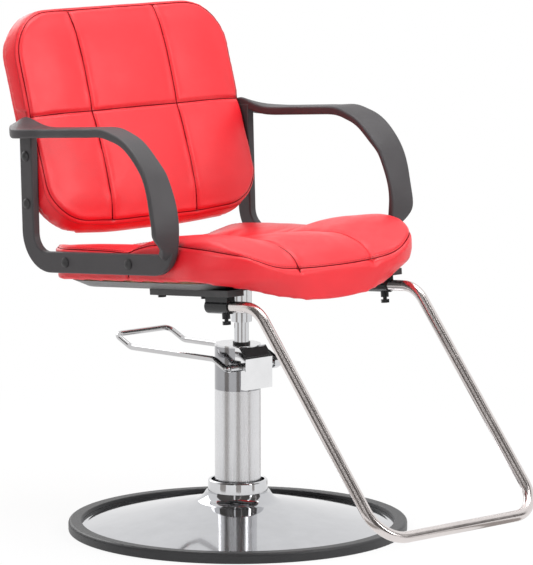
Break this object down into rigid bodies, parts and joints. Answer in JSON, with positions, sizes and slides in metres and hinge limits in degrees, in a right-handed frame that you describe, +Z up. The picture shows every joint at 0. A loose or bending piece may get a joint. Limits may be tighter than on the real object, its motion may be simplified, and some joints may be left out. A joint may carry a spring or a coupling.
{
  "type": "barber chair",
  "caption": "Hydraulic swivel chair with a cushioned seat and back, looped arms, a clamped loop footrest, a pump pedal and a round dished base.",
  "frame": {"origin": "on the floor, on the axis of the base and its column", "axes": "+Z up, -Y the way the sitter faces, +X the sitter's left"},
  "size_m": [0.6118, 0.9317, 0.8922],
  "materials": {
    "rubber": "satin",
    "seal_rubber": "matt",
    "chrome": "mirror polished",
    "satin_chrome": "satin",
    "steel": "brushed",
    "zinc": "zinc plated",
    "black_steel": "gloss black",
    "base_steel": "matt black",
    "casting": "chromed and polished",
    "dark_plate": "satin",
    "brass": "machined",
    "bearing_bronze": "machined",
    "black_plastic": "moulded",
    "charcoal_plastic": "fine grained",
    "plywood": "plain",
    "red_leatherette": "semi-gloss, fine grained"
  },
  "bodies": {
    "base": {"rubber_ring": "rubber", "base_plate": "base_steel", "base_dish": "chrome", "base_collar": "chrome", "column_tube": "satin_chrome", "base_bolts": "zinc", "valve_block": "steel", "inlet_valve": "brass", "release_valve": "brass", "pressure_cylinder": "steel", "pump_head": "casting", "ram_guide": "bearing_bronze", "wiper_ring": "black_plastic", "head_cap": "black_plastic", "pump_cover": "chrome", "cover_plate": "dark_plate", "cover_screws": "zinc", "shaft_bushes": "bearing_bronze", "plunger_sleeve": "brass", "plunger_spring": "steel"},
    "lift": {"ram_piston": "steel", "piston_seal": "seal_rubber", "thrust_washer": "bearing_bronze"},
    "seat": {"ram_rod": "chrome", "seat_socket": "chrome", "mechanism_plate": "black_steel", "plate_bolts": "zinc", "rail_bolts": "black_steel", "tee_nuts": "zinc", "seat_pan": "charcoal_plastic", "seat_board": "plywood", "seat_cushion": "red_leatherette", "footrest_rail_left": "black_steel", "footrest_clamp_left": "black_steel", "arm_bracket_left": "black_steel", "footrest_rail_right": "black_steel", "footrest_clamp_right": "black_steel", "arm_bracket_right": "black_steel", "arm_left": "charcoal_plastic", "arm_right": "charcoal_plastic", "arm_bolts": "black_steel", "back_bolts": "black_steel", "arm_nuts": "zinc", "arm_spacers": "zinc", "back_bracket_left": "black_steel", "back_bracket_right": "black_steel", "board_bolts": "zinc", "back_board": "plywood", "back_cushion": "red_leatherette", "back_panel": "red_leatherette"},
    "footrest": {"footrest_tube": "steel"},
    "pedal": {"pivot_shaft": "chrome", "pump_cam": "steel", "pedal_handle": "chrome", "handle_grub_screws": "zinc", "shaft_lock_nut": "chrome"},
    "plunger": {"pump_plunger": "steel"},
    "set_screw_left": {"set_screw_left": "black_steel"},
    "set_screw_right": {"set_screw_right": "black_steel"}
  },
  "joints": [
    {"name": "lift", "type": "slide", "parent": "base", "child": "lift", "axis": [0, 0, 1], "range_m": [0, 0.14]},
    {"name": "swivel", "type": "hinge", "parent": "lift", "child": "seat", "pos_m": [0, -0.01, 0.4], "axis": [0, 0, 1], "continuous": true},
    {"name": "pedal", "type": "hinge", "parent": "base", "child": "pedal", "pos_m": [0, -0.04, 0.293], "axis": [-1, 0, 0], "range_deg": [0, 28], "stiffness_Nm_per_rad": 4, "springref_deg": -34.38},
    {"name": "plunger_stroke", "type": "slide", "parent": "base", "child": "plunger", "axis": [0, 0, -1], "range_m": [0, 0.0042], "deforming": ["plunger_spring"]},
    {"name": "footrest_slide", "type": "slide", "parent": "seat", "child": "footrest", "axis": [0, -0.9962, 0.0872], "range_m": [0, 0.03]},
    {"name": "set_screw_left", "type": "slide", "parent": "seat", "child": "set_screw_left", "axis": [0, -0.0872, -0.9962], "range_m": [0, 0.01]},
    {"name": "set_screw_right", "type": "slide", "parent": "seat", "child": "set_screw_right", "axis": [0, -0.0872, -0.9962], "range_m": [0, 0.01]}
  ],
  "couplings": [
    {"joint": "plunger_stroke", "follows": "pedal", "m_per_rad": 0.0084}
  ]
}
